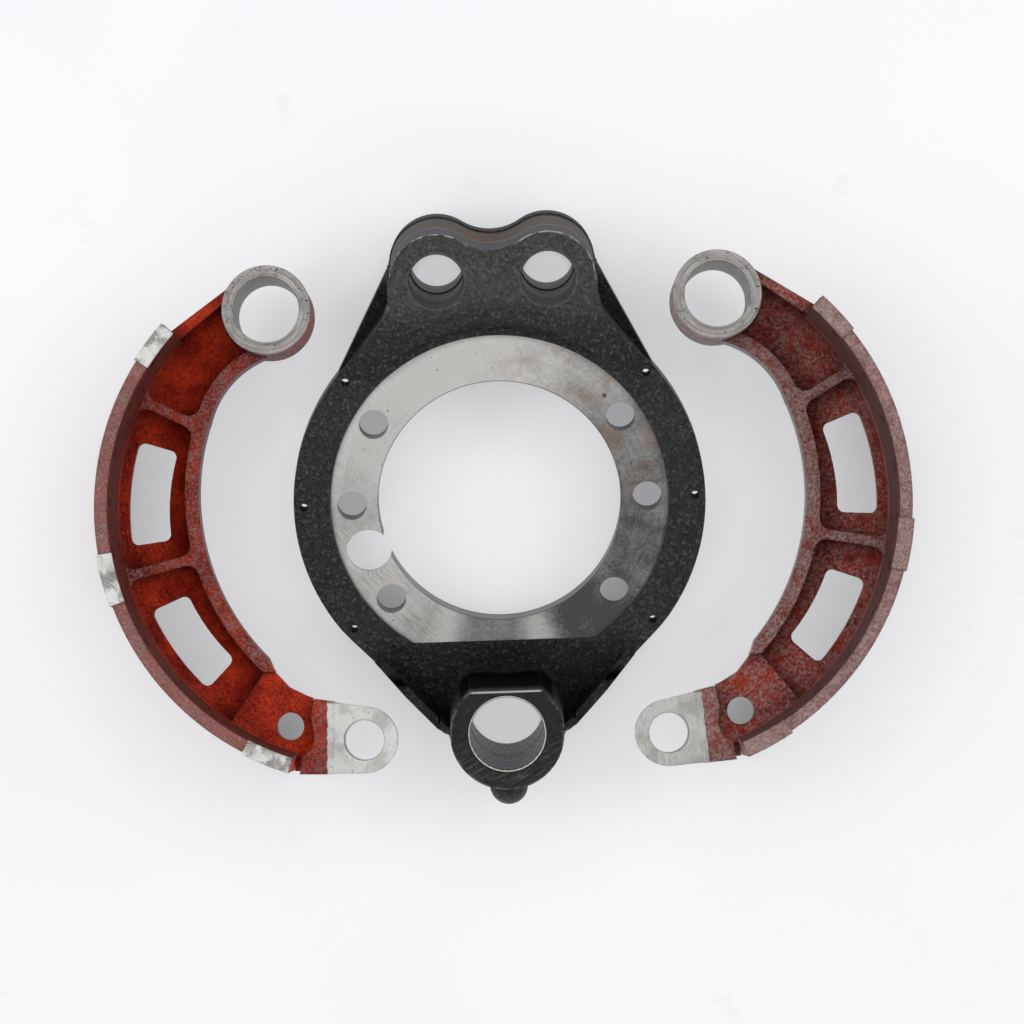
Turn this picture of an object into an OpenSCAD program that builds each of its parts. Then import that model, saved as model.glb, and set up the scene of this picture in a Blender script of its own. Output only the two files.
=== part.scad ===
// Drum brake assembly laid out flat: a cast brake spider with two cam bushes,
// and the left and right cast brake shoes beside it. Millimetres, +Z up.
// The spider is drawn in its own frame (mounting face at zero, front up), then
// leaned back onto the rear of its anchor block and the rear of its cam barrel.

/* [Flange] */
// Radius of the central bore
bore_radius = 82.5; // [70:0.5:90]
// Radius of the machined mounting face
face_radius = 115; // [108:0.5:120]
// Outer radius of the flange disc
flange_radius = 140; // [130:1:150]
// Thickness behind the mounting face
flange_depth = 16; // [12:1:22]
// Height of the rough border above the mounting face
border_rise = 3; // [1:0.5:6]

/* [Flange holes] */
// Radius of the wheel-end bolt holes
bolt_radius = 10; // [7:0.5:12]
// Pitch radius of the bolt holes
bolt_pitch_radius = 100.5; // [96:0.5:104]
// Angle of the upper bolt holes above the middle pair
bolt_upper_angle = 33.5; // [25:0.5:45]
// Angle of the lower bolt holes below the middle pair
bolt_lower_angle = 40.8; // [30:0.5:48]
// Radius of the locating notch that opens into the bore
notch_radius = 15.6; // [10:0.2:18]
// Distance of the notch axis from the bore axis
notch_distance = 96; // [90:0.5:100]
// Angle of the notch axis
notch_angle = 200; // [190:0.5:210]
// Radius of the dust shield screw holes
shield_hole_radius = 2.75; // [2:0.25:4]
// Distance of the dust shield screw holes from the edge of the flange
shield_margin = 7; // [5:0.5:12]
// Angle of the outer dust shield screw holes
shield_angle = 40; // [30:1:48]

/* [Anchor block] */
// Radius of the two anchor pin bores
anchor_radius = 18.3; // [14:0.1:22]
// Half of the distance between the anchor pin bores
anchor_half_spacing = 37.7; // [34:0.1:44]
// Distance of the anchor pin bores from the bore axis
anchor_distance = 154.6; // [150:0.2:165]
// Outer radius of each ear
ear_radius = 32; // [28:0.5:35]
// Radius of the hollow between the ears
saddle_radius = 36; // [20:1:60]
// Half width of the anchor block
block_half_width = 71; // [66:0.5:74]
// Height of the anchor block face above the mounting face
ear_rise = 16; // [8:1:30]
// Depth of the anchor block behind the mounting face
ear_depth = 80; // [50:1:88]
// Width of the chamfer round each anchor pin bore
anchor_chamfer = 0.7; // [0.4:0.1:3]
// Radial depth of the relief inside each anchor pin bore
anchor_relief = 0.8; // [0.4:0.1:2]

/* [Cam barrel] */
// Distance of the cam axis from the bore axis
cam_distance = 148; // [144:0.5:156]
// Outer radius of the cam barrel
barrel_radius = 38.6; // [36:0.2:42]
// Height of the cam barrel above the mounting face
barrel_rise = 64; // [40:1:80]
// Distance of the upper flat from the cam axis
barrel_flat = 29.8; // [28.5:0.1:34]
// Radius of the bore that holds the bushes
housing_radius = 27.2; // [25:0.1:28.5]
// Radius of the grease lug below the barrel
lug_radius = 13; // [10:0.5:16]
// Reach of the grease lug from the cam axis
lug_reach = 58.5; // [52:0.5:66]
// Radius of the grease hole
grease_radius = 2.5; // [1.5:0.1:2.6]

/* [Cam bushes] */
// Wall of the pressed bushes
bush_wall = 2; // [1.5:0.1:3]
// Length of the front bush
bush_front_length = 38; // [30:1:42]
// Length of the rear bush
bush_rear_length = 35; // [28:1:38]
// Setback of each bush from the end of the barrel
bush_setback = 0.8; // [0.4:0.1:2]

/* [Shoe] */
// Outer radius of the lining table
rim_radius = 183; // [176:0.5:190]
// Thickness of the lining table
rim_wall = 8.4; // [6:0.2:10]
// Width of the lining table
rim_width = 160; // [120:2:180]
// Height of the machined pads on the table edges
pad_rise = 1.2; // [0.5:0.1:2]
// Thickness of the central web
web_thickness = 10; // [8:0.5:16]
// Height of the inner flange and cross ribs above the middle plane
rib_rise = 16; // [12:0.5:26]
// Width of the inner flange
inner_flange_width = 9.2; // [7:0.1:12]
// Width of each cross rib
rib_width = 6.6; // [5:0.2:9]
// Radius of the pocket corners beside each cross rib
pocket_round = 8; // [4:0.5:12]
// Radius of the anchor eye bore
eye_bore_radius = 22; // [18:0.25:23.5]
// Outer radius of the anchor eye
eye_radius = 29.8; // [28:0.2:34]
// Length of the anchor eye
eye_length = 92; // [60:1:110]
// Radius of the roller seat hole
roller_radius = 13.5; // [10:0.25:15]
// Outer radius of the roller end
roller_end_radius = 23; // [20:0.5:26]
// Half thickness of the machined roller end
roller_half_thickness = 18.5; // [14:0.5:24]
// Radius of the return spring hole
spring_hole_radius = 9.3; // [6:0.1:11]
// Radius of the lining rivet holes
rivet_radius = 3.5; // [2.5:0.25:4.5]

/* [Layout] */
// Distance of the left shoe centre to the left of the cam line
left_shoe_x = 85.9; // [80:0.5:110]
// Distance of the left shoe centre below the bore axis
left_shoe_y = 4.5; // [-10:0.5:15]
// Turn of the left shoe
left_shoe_turn = -1.9; // [-8:0.1:4]
// Distance of the right shoe centre to the right of the cam line
right_shoe_x = 90.9; // [80:0.5:110]
// Distance of the right shoe centre below the bore axis
right_shoe_y = 6.9; // [-10:0.5:15]
// Turn of the right shoe
right_shoe_turn = -4.7; // [-8:0.1:4]

/* [Hidden] */
// facets of the round forms, from the largest to the smallest
$fn = 96;
table_facets = 180;
smooth = 144;
turned = 72;
medium = 48;
fine = 32;
coarse = 16;
// reach of a cut past the face that it opens
over = 1;
sliver = 0.1;

// steps and slopes of the flange
shield_pitch_radius = flange_radius - shield_margin;
ledge_width = 4;
ledge_rise = 5.5;
slope_start = 85;
slope_end = 128;
slope_drop = 8;

// slope and rounding up to the face of the anchor block
ramp_start = 86;
ramp_run_out = 5;
ramp_end = anchor_distance - ear_radius + ramp_run_out;
ramp_lead = 3;
ramp_clear = 10;
ramp_slope = atan((ear_rise - border_rise) / (ramp_end - ramp_start));
ramp_round = 60;
ramp_tangent = ramp_round * tan(ramp_slope / 2);
easing = 0.12;
cove_radius = 30;
cove_low = ear_rise + easing - cove_radius;
cove_centre = face_radius + ledge_width
    + sqrt(cove_radius * cove_radius - (ledge_rise - cove_low) * (ledge_rise - cove_low));
ramp_low = border_rise - ramp_lead * (ear_rise - border_rise) / (ramp_end - ramp_start);

// shoulders of the anchor block and the gussets behind them
shoulder_lead = 8;
shoulder_reach = 18.5;
shoulder_drop = 24;
shoulder_height = ramp_end + shoulder_lead;
shoulder_u = block_half_width + shoulder_reach;
shoulder_v = shoulder_height - shoulder_drop;
shoulder_round = 30;
shoulder_turn = atan((shoulder_u - block_half_width) / (shoulder_height - shoulder_v));
shoulder_tangent = shoulder_round * tan(shoulder_turn / 2);
foot_angle = 143;
foot_inset = 0.8;
foot_radius = flange_radius - foot_inset;
gusset_radius = foot_radius - foot_inset;
gusset_top = -4;
gusset_lead = 5;
gusset_proud = 0.5;
gusset_root = 12;

// ears of the anchor block
relief_front = 20;
relief_rear = 50;
rear_clearance = 3;
rear_cut_radius = face_radius + rear_clearance;
rear_corner = sqrt(rear_cut_radius * rear_cut_radius - block_half_width * block_half_width);
saddle_v = anchor_distance + sqrt((ear_radius + saddle_radius) * (ear_radius + saddle_radius)
    - anchor_half_spacing * anchor_half_spacing);
saddle_touch_u = anchor_half_spacing * saddle_radius / (ear_radius + saddle_radius);
saddle_touch_v = saddle_v - (saddle_v - anchor_distance) * saddle_radius / (ear_radius + saddle_radius);
flash_rise = 0.8;
flash_depth = 60;
flash_width = 2.5;

// the cam barrel and the lower web with its side ribs
foot_flare = 5;
foot_rise = 6;
foot_sink = 0.5;
barrel_foot = barrel_radius + foot_flare;
side_rib_width = 5.5;
side_rib_rise = 11;
side_rib_end = 47;
side_rib_span = 42;
side_rib_top = 106;
side_rib_lead = 26;
side_rib_foot = border_rise - over
    - (border_rise + slope_drop) * (side_rib_top - slope_start) / (slope_end - slope_start);
tip_u = 34;
tip_reach = 22;
tip_v = cam_distance + tip_reach;
tip_distance = sqrt(tip_u * tip_u + tip_v * tip_v);
tangent_angle = acos(flange_radius / tip_distance) - atan2(tip_v, tip_u);
lug_height = (barrel_rise - bush_front_length - flange_depth + bush_rear_length) / 2;

// the pressed bushes
bush_fit = 0.03;
bush_radius = housing_radius - bush_fit;
bush_bore = bush_radius - bush_wall;
bush_chamfer = 0.6;

// lean of the spider on the floor
lean = atan((ear_depth - flange_depth) / (rear_corner + cam_distance + barrel_radius));
spider_height = (cam_distance + barrel_radius) * sin(lean) + flange_depth * cos(lean);

// lining table of the shoe, in a frame centred on it
mid = rim_width / 2 + pad_rise;
rim_start = 138.5;
rim_end = 253;
rim_draft = 4;
rim_inner = rim_radius - rim_wall;
rivet_step = 10.8;
rivet_first = 146.5;
rivet_count = 10;
rivet_offset = 62;
rivet_over = 8;

// machined pads on the edges of the table
pad_proud = 1.5;
pad_sink = 0.6;
pad_bite = 2;
pad_lip = 6;
pad_foot = 10;
pad_turn = 0.15;
pad_radius = rim_radius + pad_proud;
pad_inner = rim_inner - pad_sink;
pad_root = rim_radius - pad_bite;
pad_spans = [[rim_start + pad_turn, 148], [190, 201], [242.5, rim_end - pad_turn]];

// web, which ends inside the table
web_bite = 1;
web_radius = rim_inner - web_bite;
web_inset = 2;
flat_inset = 1.5;
table_flat = web_thickness / 2 - flat_inset;
end_inset = 0.6;

// anchor eye, roller seat and return spring hole
eye_u = -70.5;
eye_v = 133.1;
roller_u = -5.2;
roller_v = -155;
spring_u = -55.1;
spring_v = -145.8;

// inner edge, two arcs that run into one another
inner_u = 38;
inner_v = 11.6;
inner_radius = 155;
neck_u = -49.3;
neck_v = 45.2;
neck_radius = 61.7;
neck_join = 57;
flange_end = -109;
hollow_end = -100;

// cross ribs and the rounded corners beside them
rib_one = 154.6;
rib_two = 195.3;
rib_one_inner = 127;
rib_two_inner = 119;
pocket_bite = 3;
pocket_radius = rim_inner - pocket_bite;

// lightening windows
window_margin = 19;
window_height = 27;
window_outer = rim_radius - window_margin;
window_inner = window_outer - window_height;
window_corner = 5;
window_one = [163.5, 188.5];
window_two = [204.5, 227.3];

// roller end: plan, pad round the spring hole, rough block and machined part
step_angle = 236.4;
step_end = 268;
step_half = 12;
block_half_thickness = 20;
throat = [[-70.2, -99], [-66.5, -107.5], [-56, -118.5], [-44, -124.3], [-34, -127.6],
    [-18, -130.5], [20, -130.5], [20, -60], [-60, -60]];
block_edge = [[-38, -120], [-41, -140], [-38.5, -153], [-40, -160], [-47, -167], [-50, -190],
    [-26, -190], [-26, -120]];
end_taper = 0.14;
plan_start = -52;
rough_start = -50.5;
machined_start = -30;
machined_inset = 0.5;

// neck from the end of the table to the anchor eye
neck_inner = 118;
neck_lead = 4;
neck_angle = rim_start + neck_lead;
neck_drop = 40;
neck_flange = 5.5;
corner_lead = 0.3;
corner_inset = 1.8;
corner_angle = rim_start - corner_lead;
corner_radius = rim_radius - corner_inset;
touch_inset = 0.5;
touch_radius = eye_radius - touch_inset;
corner_u = corner_radius * cos(corner_angle);
corner_v = corner_radius * sin(corner_angle);
touch_turn = atan2(corner_v - eye_v, corner_u - eye_u);
touch_span = acos(touch_radius / norm([corner_u - eye_u, corner_v - eye_v]));
touch_angle = touch_turn - touch_span;
touch_u = eye_u + touch_radius * cos(touch_angle);
touch_v = eye_v + touch_radius * sin(touch_angle);

// box of the whole layout, used to put the origin under its middle
left_reach = left_shoe_x + max(rim_radius, pad_radius * cos(pad_spans[1][0] - 180 + left_shoe_turn));
right_reach = right_shoe_x + max(rim_radius, pad_radius * cos(pad_spans[1][0] - 180 + right_shoe_turn));
shift_x = (left_reach - right_reach) / 2;
layout_top = (anchor_distance + ear_radius + flash_rise) * cos(lean) + flash_depth * sin(lean);
layout_rear_top = (anchor_distance + ear_radius) * cos(lean) + ear_depth * sin(lean);
lug_end = (cam_distance + lug_reach - lug_radius) * cos(lean) + lug_height * sin(lean) + lug_radius;
shift_y = (lug_end - max(layout_top, layout_rear_top)) / 2;

// places children in the leaning spider frame
module on_spider() {
    translate([shift_x, shift_y, spider_height])
        rotate([lean, 0, 0])
            children();
}

// both sides of the spider
module both_sides() {
    children();
    mirror([1, 0, 0])
        children();
}

// upright prism between two heights
module between(low, high) {
    translate([0, 0, low])
        linear_extrude(height = high - low)
            children();
}

// prism across the whole width, drawn in a side view of forward and height
module across(half_width) {
    translate([-half_width, 0, 0])
        rotate([90, 0, 90])
            linear_extrude(height = 2 * half_width)
                children();
}

// fan of a circle between two angles
module fan(radius, first, last) {
    quarter = (last - first) / 4;
    reach = radius / cos(quarter / 2) + 1;
    intersection() {
        circle(r = radius);
        polygon([[0, 0],
            [reach * cos(first), reach * sin(first)],
            [reach * cos(first + quarter), reach * sin(first + quarter)],
            [reach * cos(first + 2 * quarter), reach * sin(first + 2 * quarter)],
            [reach * cos(first + 3 * quarter), reach * sin(first + 3 * quarter)],
            [reach * cos(last), reach * sin(last)]]);
    }
}

// outline of the two ears with the hollow between them
module ear_outline(grow) {
    difference() {
        union() {
            translate([anchor_half_spacing, anchor_distance])
                circle(r = ear_radius + grow);
            translate([-anchor_half_spacing, anchor_distance])
                circle(r = ear_radius + grow);
            polygon([[-saddle_touch_u - grow, saddle_touch_v + grow],
                [saddle_touch_u + grow, saddle_touch_v + grow],
                [anchor_half_spacing, anchor_distance], [-anchor_half_spacing, anchor_distance]]);
            translate([-block_half_width - grow, rear_corner])
                square([2 * (block_half_width + grow), anchor_distance - rear_corner]);
        }
        translate([0, saddle_v])
            circle(r = saddle_radius - grow);
    }
}

// front part of the anchor block, down to the border of the flange
module shoulder_outline() {
    ear_outline(0);
    polygon([[-block_half_width, shoulder_height], [-shoulder_u, shoulder_v],
        [foot_radius * cos(foot_angle), foot_radius * sin(foot_angle)],
        [-foot_radius * cos(foot_angle), foot_radius * sin(foot_angle)],
        [shoulder_u, shoulder_v], [block_half_width, shoulder_height]]);
    // rounded inner corners at the foot of the ears
    for (side = [-1, 1])
        difference() {
            polygon([[side * (block_half_width - over), shoulder_height - over],
                [side * (block_half_width - over), shoulder_height + shoulder_tangent],
                [side * (block_half_width + shoulder_round), shoulder_height + shoulder_tangent],
                [side * (block_half_width + shoulder_tangent * sin(shoulder_turn)),
                    shoulder_height - shoulder_tangent * cos(shoulder_turn)],
                [side * block_half_width, shoulder_height - shoulder_tangent]]);
            translate([side * (block_half_width + shoulder_round), shoulder_height + shoulder_tangent])
                circle(r = shoulder_round);
        }
}

// lower web between the flange and the cam barrel
module web_outline() {
    polygon([[flange_radius * cos(tangent_angle), flange_radius * sin(tangent_angle)],
        [tip_u, -tip_v], [-tip_u, -tip_v],
        [-flange_radius * cos(tangent_angle), flange_radius * sin(tangent_angle)]]);
}

// raised rib along one edge of the lower web
module side_rib() {
    difference() {
        between(-slope_drop - over, side_rib_rise)
            intersection() {
                difference() {
                    web_outline();
                    translate([-side_rib_width, side_rib_width / 2])
                        web_outline();
                }
                translate([side_rib_end, -tip_v])
                    square([side_rib_span, tip_v - side_rib_top]);
            }
        // long slope at its upper end
        across(flange_radius)
            polygon([[over - side_rib_top, side_rib_foot], [-side_rib_top - side_rib_lead, side_rib_rise],
                [-side_rib_top - side_rib_lead, side_rib_rise + over],
                [over - side_rib_top, side_rib_rise + over]]);
    }
}

// body of the casting before holes are cut
module spider_body() {
    difference() {
        between(-flange_depth, border_rise) {
            circle(r = flange_radius, $fn = smooth);
            web_outline();
        }
        across(flange_radius + over)
            polygon([[-slope_start, border_rise], [-slope_end, -slope_drop], [-tip_v - over, -slope_drop],
                [-tip_v - over, border_rise + over], [-slope_start, border_rise + over]]);
    }
    both_sides()
        side_rib();
    both_sides()
        between(-flange_depth, gusset_top)
            polygon([[-gusset_radius * cos(foot_angle), gusset_radius * sin(foot_angle)],
                [block_half_width + gusset_proud, anchor_distance + gusset_lead],
                [block_half_width - gusset_root, anchor_distance],
                [block_half_width - gusset_root, ramp_start]]);
    // block of the anchor pins, sloping down to the mounting face
    difference() {
        union() {
            between(-flange_depth, ear_rise)
                shoulder_outline();
            between(-ear_depth, -flange_depth + over)
                ear_outline(0);
            between(-flash_depth - flash_width, -flash_depth)
                ear_outline(flash_rise);
        }
        across(flange_radius + over) {
            polygon([[ramp_start - ramp_lead, ramp_low], [ramp_end, ear_rise], [ramp_end, ear_rise + over],
                [ramp_start - ramp_clear, ear_rise + over], [ramp_start - ramp_clear, ramp_low]]);
            // rounding between the slope and the face of the block
            difference() {
                polygon([[ramp_end - ramp_tangent, ear_rise - ramp_tangent * tan(ramp_slope)],
                    [ramp_end, ear_rise - easing], [ramp_end + ramp_tangent, ear_rise - easing],
                    [ramp_end + ramp_tangent, ear_rise + over], [ramp_end - ramp_tangent, ear_rise + over]]);
                translate([ramp_end + ramp_tangent, ear_rise + easing - ramp_round])
                    circle(r = ramp_round);
            }
        }
        // cove that rises from the ledge round the mounting face
        rotate_extrude($fn = smooth)
            difference() {
                translate([face_radius, ledge_rise])
                    square([cove_centre - face_radius, ear_rise + over - ledge_rise]);
                translate([cove_centre, cove_low])
                    circle(r = cove_radius);
            }
        translate([0, 0, -ear_depth - over])
            cylinder(h = ear_depth - flange_depth + over, r = rear_cut_radius, $fn = smooth);
    }
    translate([0, -cam_distance, 0]) {
        difference() {
            union() {
                translate([0, 0, -flange_depth])
                    cylinder(h = flange_depth + barrel_rise, r = barrel_radius);
                translate([0, 0, -slope_drop - over])
                    cylinder(h = foot_rise, r1 = barrel_foot, r2 = barrel_radius - foot_sink);
            }
            translate([-barrel_foot - over, barrel_flat, -flange_depth + over])
                cube([2 * barrel_foot + 2 * over, barrel_foot, flange_depth + barrel_rise]);
        }
        // grease lug with a rounded end
        translate([0, 0, lug_height])
            rotate([90, 0, 0])
                cylinder(h = lug_reach - lug_radius, r = lug_radius, $fn = medium);
        translate([0, -lug_reach + lug_radius, lug_height])
            sphere(r = lug_radius, $fn = medium);
    }
}

// hole through the flange at one angle and pitch radius
module flange_hole(angle, pitch_radius) {
    translate([pitch_radius * cos(angle), pitch_radius * sin(angle)])
        between(-flange_depth - over, border_rise + over)
            children();
}

module spider() {
    color([0.07, 0.07, 0.075])
        on_spider()
            difference() {
                spider_body();
                // machined mounting face, its ledge and the central bore
                cylinder(h = ear_rise + over, r = face_radius, $fn = smooth);
                translate([0, 0, ledge_rise])
                    cylinder(h = ear_rise, r = face_radius + ledge_width, $fn = smooth);
                translate([0, 0, -flange_depth - over])
                    cylinder(h = flange_depth + 2 * over, r = bore_radius, $fn = smooth);
                flange_hole(notch_angle, notch_distance)
                    circle(r = notch_radius, $fn = medium);
                both_sides()
                    for (angle = [bolt_upper_angle, 0, -bolt_lower_angle])
                        flange_hole(angle, bolt_pitch_radius)
                            circle(r = bolt_radius, $fn = fine);
                both_sides()
                    for (angle = [shield_angle, 0, -shield_angle])
                        flange_hole(angle, shield_pitch_radius)
                            circle(r = shield_hole_radius, $fn = coarse);
                // anchor pin bores with chamfers and a relief half way
                both_sides()
                    translate([anchor_half_spacing, anchor_distance, 0]) {
                        translate([0, 0, -ear_depth - over])
                            cylinder(h = ear_depth + ear_rise + 2 * over, r = anchor_radius, $fn = turned);
                        translate([0, 0, ear_rise - anchor_chamfer])
                            cylinder(h = anchor_chamfer + sliver, r1 = anchor_radius,
                                r2 = anchor_radius + anchor_chamfer + sliver, $fn = turned);
                        translate([0, 0, -relief_rear])
                            cylinder(h = relief_rear - relief_front, r = anchor_radius + anchor_relief,
                                $fn = turned);
                    }
                // cam barrel: bush housing and grease hole
                translate([0, -cam_distance, 0]) {
                    translate([0, 0, -flange_depth - over])
                        cylinder(h = flange_depth + barrel_rise + 2 * over, r = housing_radius,
                            $fn = turned);
                    translate([0, 0, lug_height])
                        rotate([90, 0, 0])
                            cylinder(h = lug_reach + over, r = grease_radius, $fn = coarse);
                }
            }
}

// pressed bush with chamfered bore ends
module bush(low, high) {
    on_spider()
        translate([0, -cam_distance, low])
            rotate_extrude($fn = turned)
                polygon([[bush_bore, bush_chamfer], [bush_bore + bush_chamfer, 0], [bush_radius, 0],
                    [bush_radius, high - low], [bush_bore + bush_chamfer, high - low],
                    [bush_bore, high - low - bush_chamfer]]);
}

module cam_bush_front() {
    color([0.62, 0.6, 0.56])
        bush(barrel_rise - bush_setback - bush_front_length, barrel_rise - bush_setback);
}

module cam_bush_rear() {
    color([0.62, 0.6, 0.56])
        bush(bush_setback - flange_depth, bush_setback - flange_depth + bush_rear_length);
}

// part of the shoe frame inside the inner edge
module shoe_hollow(grow, lowest) {
    translate([neck_u, neck_v])
        circle(r = neck_radius + grow);
    intersection() {
        translate([inner_u, inner_v])
            circle(r = inner_radius + grow);
        translate([-rim_radius, lowest])
            square([rim_radius, neck_join - lowest]);
    }
}

// plan of the whole shoe, from the anchor eye to the roller end
module shoe_plan(inset) {
    edge_radius = web_radius - inset / 2;
    difference() {
        union() {
            fan(edge_radius, rim_start + end_inset, rim_end - end_inset);
            polygon([[eye_u, eye_v],
                [eye_u + (touch_radius - inset) * cos(touch_angle),
                    eye_v + (touch_radius - inset) * sin(touch_angle)],
                [(corner_radius - inset) * cos(corner_angle), (corner_radius - inset) * sin(corner_angle)],
                [edge_radius * cos(neck_angle), edge_radius * sin(neck_angle)],
                [neck_inner * cos(neck_angle), neck_inner * sin(neck_angle)],
                [eye_u, eye_v - neck_drop]]);
        }
        shoe_hollow(inset, hollow_end);
        translate([0, -inset])
            polygon(throat);
    }
    roller_plan(plan_start, inset);
}

// plan of the roller end from a given distance
module roller_plan(start, inset) {
    half = roller_end_radius - inset;
    translate([roller_u, roller_v])
        circle(r = half);
    polygon([[start, roller_v - half], [roller_u, roller_v - half], [roller_u, roller_v + half],
        [start, roller_v + half + (roller_u - start) * end_taper]]);
}

// radial strip of the shoe at one angle
module radial_strip(angle, inner, outer, width) {
    rotate([0, 0, angle])
        translate([inner, -width / 2])
            square([outer - inner, width]);
}

// lightening window with rounded corners
module window(first, last) {
    offset(r = window_corner, $fn = fine)
        offset(delta = -window_corner)
            difference() {
                intersection() {
                    fan(window_outer + over, first, last);
                    circle(r = window_outer, $fn = smooth);
                }
                circle(r = window_inner, $fn = smooth);
            }
}

// lining table with tapered inner faces and raised pads
module lining_table() {
    translate([0, 0, mid])
        rotate([0, 0, rim_start])
            rotate_extrude(angle = rim_end - rim_start, $fn = table_facets)
                polygon([[rim_radius, -rim_width / 2], [rim_radius, rim_width / 2],
                    [rim_inner, rim_width / 2], [rim_inner - rim_draft, table_flat],
                    [rim_inner - rim_draft, -table_flat], [rim_inner, -rim_width / 2]]);
    for (pad = pad_spans)
        translate([0, 0, mid])
            rotate([0, 0, pad[0]])
                rotate_extrude(angle = pad[1] - pad[0], $fn = table_facets)
                    polygon([[pad_radius, -mid], [pad_radius, mid], [pad_inner, mid],
                        [pad_inner, mid - pad_lip], [pad_root, mid - pad_foot],
                        [pad_root, pad_foot - mid], [pad_inner, pad_lip - mid],
                        [pad_inner, -mid]]);
}

// rounded pocket corner between a cross rib and a curved wall of the given centre and radius,
// with the pocket outside that curve where bulge is 1 and inside it where bulge is -1
module pocket_corner(angle, side, centre, wall_radius, bulge) {
    centre_u = centre[0] * cos(angle) + centre[1] * sin(angle);
    centre_v = centre[1] * cos(angle) - centre[0] * sin(angle);
    reach = wall_radius + bulge * pocket_round;
    round_v = side * (rib_width / 2 + pocket_round);
    round_u = centre_u + sqrt(reach * reach - (round_v - centre_v) * (round_v - centre_v));
    into_wall = (wall_radius - bulge * over) / reach;
    root_v = side * (rib_width / 2 - over);
    root_u = centre_u + sqrt(wall_radius * wall_radius - (root_v - centre_v) * (root_v - centre_v));
    rotate([0, 0, angle])
        difference() {
            polygon([[round_u, root_v], [round_u, round_v],
                [centre_u + (round_u - centre_u) * into_wall, centre_v + (round_v - centre_v) * into_wall],
                [root_u - bulge * over, root_v]]);
            translate([round_u, round_v])
                circle(r = pocket_round, $fn = medium);
        }
}

// inner flange, cross ribs and the flange along the neck
module rib_plan() {
    intersection() {
        shoe_plan(0);
        shoe_hollow(inner_flange_width, flange_end);
    }
    radial_strip(rib_one, rib_one_inner, web_radius, rib_width);
    radial_strip(rib_two, rib_two_inner, web_radius, rib_width);
    polygon([[touch_u, touch_v], [corner_u, corner_v],
        [corner_radius * cos(neck_angle), corner_radius * sin(neck_angle)],
        [(corner_radius - neck_flange) * cos(neck_angle), (corner_radius - neck_flange) * sin(neck_angle)],
        [eye_u + (touch_radius - neck_flange) * cos(touch_angle),
            eye_v + (touch_radius - neck_flange) * sin(touch_angle)]]);
    pocket_corner(rib_one, -1, [neck_u, neck_v], neck_radius + inner_flange_width, 1);
    pocket_corner(rib_one, 1, [inner_u, inner_v], inner_radius + inner_flange_width, 1);
    for (side = [-1, 1]) {
        pocket_corner(rib_two, side, [inner_u, inner_v], inner_radius + inner_flange_width, 1);
        for (angle = [rib_one, rib_two])
            pocket_corner(angle, side, [0, 0], pocket_radius, -1);
    }
}

// one shoe standing on the edges of its lining table
module shoe() {
    difference() {
        union() {
            lining_table();
            between(mid - web_thickness / 2, mid + web_thickness / 2)
                difference() {
                    shoe_plan(web_inset);
                    window(window_one[0], window_one[1]);
                    window(window_two[0], window_two[1]);
                }
            between(mid - rib_rise, mid + rib_rise)
                rib_plan();
            // thick pad round the spring hole
            between(mid - step_half, mid + step_half)
                intersection() {
                    shoe_plan(web_inset / 2);
                    fan(web_radius, step_angle, step_end);
                }
            // roller end, rough block and machined faces
            between(mid - block_half_thickness, mid + block_half_thickness)
                intersection() {
                    roller_plan(rough_start, 0);
                    polygon(block_edge);
                }
            between(mid - roller_half_thickness, mid + roller_half_thickness)
                roller_plan(machined_start, machined_inset);
            translate([eye_u, eye_v, mid - eye_length / 2])
                cylinder(h = eye_length, r = eye_radius);
        }
        translate([eye_u, eye_v, -over])
            cylinder(h = 2 * mid, r = eye_bore_radius, $fn = turned);
        translate([roller_u, roller_v, -over])
            cylinder(h = 2 * mid, r = roller_radius, $fn = medium);
        translate([spring_u, spring_v, -over])
            cylinder(h = 2 * mid, r = spring_hole_radius, $fn = fine);
        // lining rivet holes in two rows
        for (row = [-rivet_offset, rivet_offset])
            for (hole = [0 : rivet_count - 1])
                translate([0, 0, mid + row])
                    rotate([0, 90, rivet_first + hole * rivet_step])
                        translate([0, 0, rim_inner - rivet_over])
                            cylinder(h = rim_wall + 2 * rivet_over, r = rivet_radius, $fn = coarse);
    }
}

module shoe_left() {
    color([0.5, 0.13, 0.08])
        translate([shift_x - left_shoe_x, shift_y - left_shoe_y, 0])
            rotate([0, 0, left_shoe_turn])
                shoe();
}

module shoe_right() {
    color([0.5, 0.13, 0.08])
        translate([shift_x, shift_y - right_shoe_y, 0])
            mirror([1, 0, 0])
                translate([-right_shoe_x, 0, 0])
                    rotate([0, 0, right_shoe_turn])
                        shoe();
}

spider();
cam_bush_front();
cam_bush_rear();
shoe_left();
shoe_right();
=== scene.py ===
import math

import bpy
from mathutils import Matrix, Vector


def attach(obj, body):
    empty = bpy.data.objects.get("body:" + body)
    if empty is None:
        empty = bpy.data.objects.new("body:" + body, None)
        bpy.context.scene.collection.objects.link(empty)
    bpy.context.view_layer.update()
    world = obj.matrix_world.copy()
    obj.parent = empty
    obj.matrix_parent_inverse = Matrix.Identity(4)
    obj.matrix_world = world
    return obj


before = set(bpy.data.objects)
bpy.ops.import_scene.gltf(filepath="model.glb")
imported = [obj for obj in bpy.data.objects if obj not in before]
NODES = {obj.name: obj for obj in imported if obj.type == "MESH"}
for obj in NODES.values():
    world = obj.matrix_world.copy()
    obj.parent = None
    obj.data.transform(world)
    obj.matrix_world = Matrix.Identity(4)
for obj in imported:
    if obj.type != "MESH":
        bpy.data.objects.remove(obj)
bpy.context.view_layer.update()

# painted reflection in light and dark fans on the mounting face: angle and half width in degrees, gain
REFLECTION_FANS = ((-114.0, 6.0, 0.5), (-76.0, 5.0, 0.6), (-142.0, 13.0, 0.4), (-52.0, 12.0, -0.2),
        (94.0, 22.0, 0.3))

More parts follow.
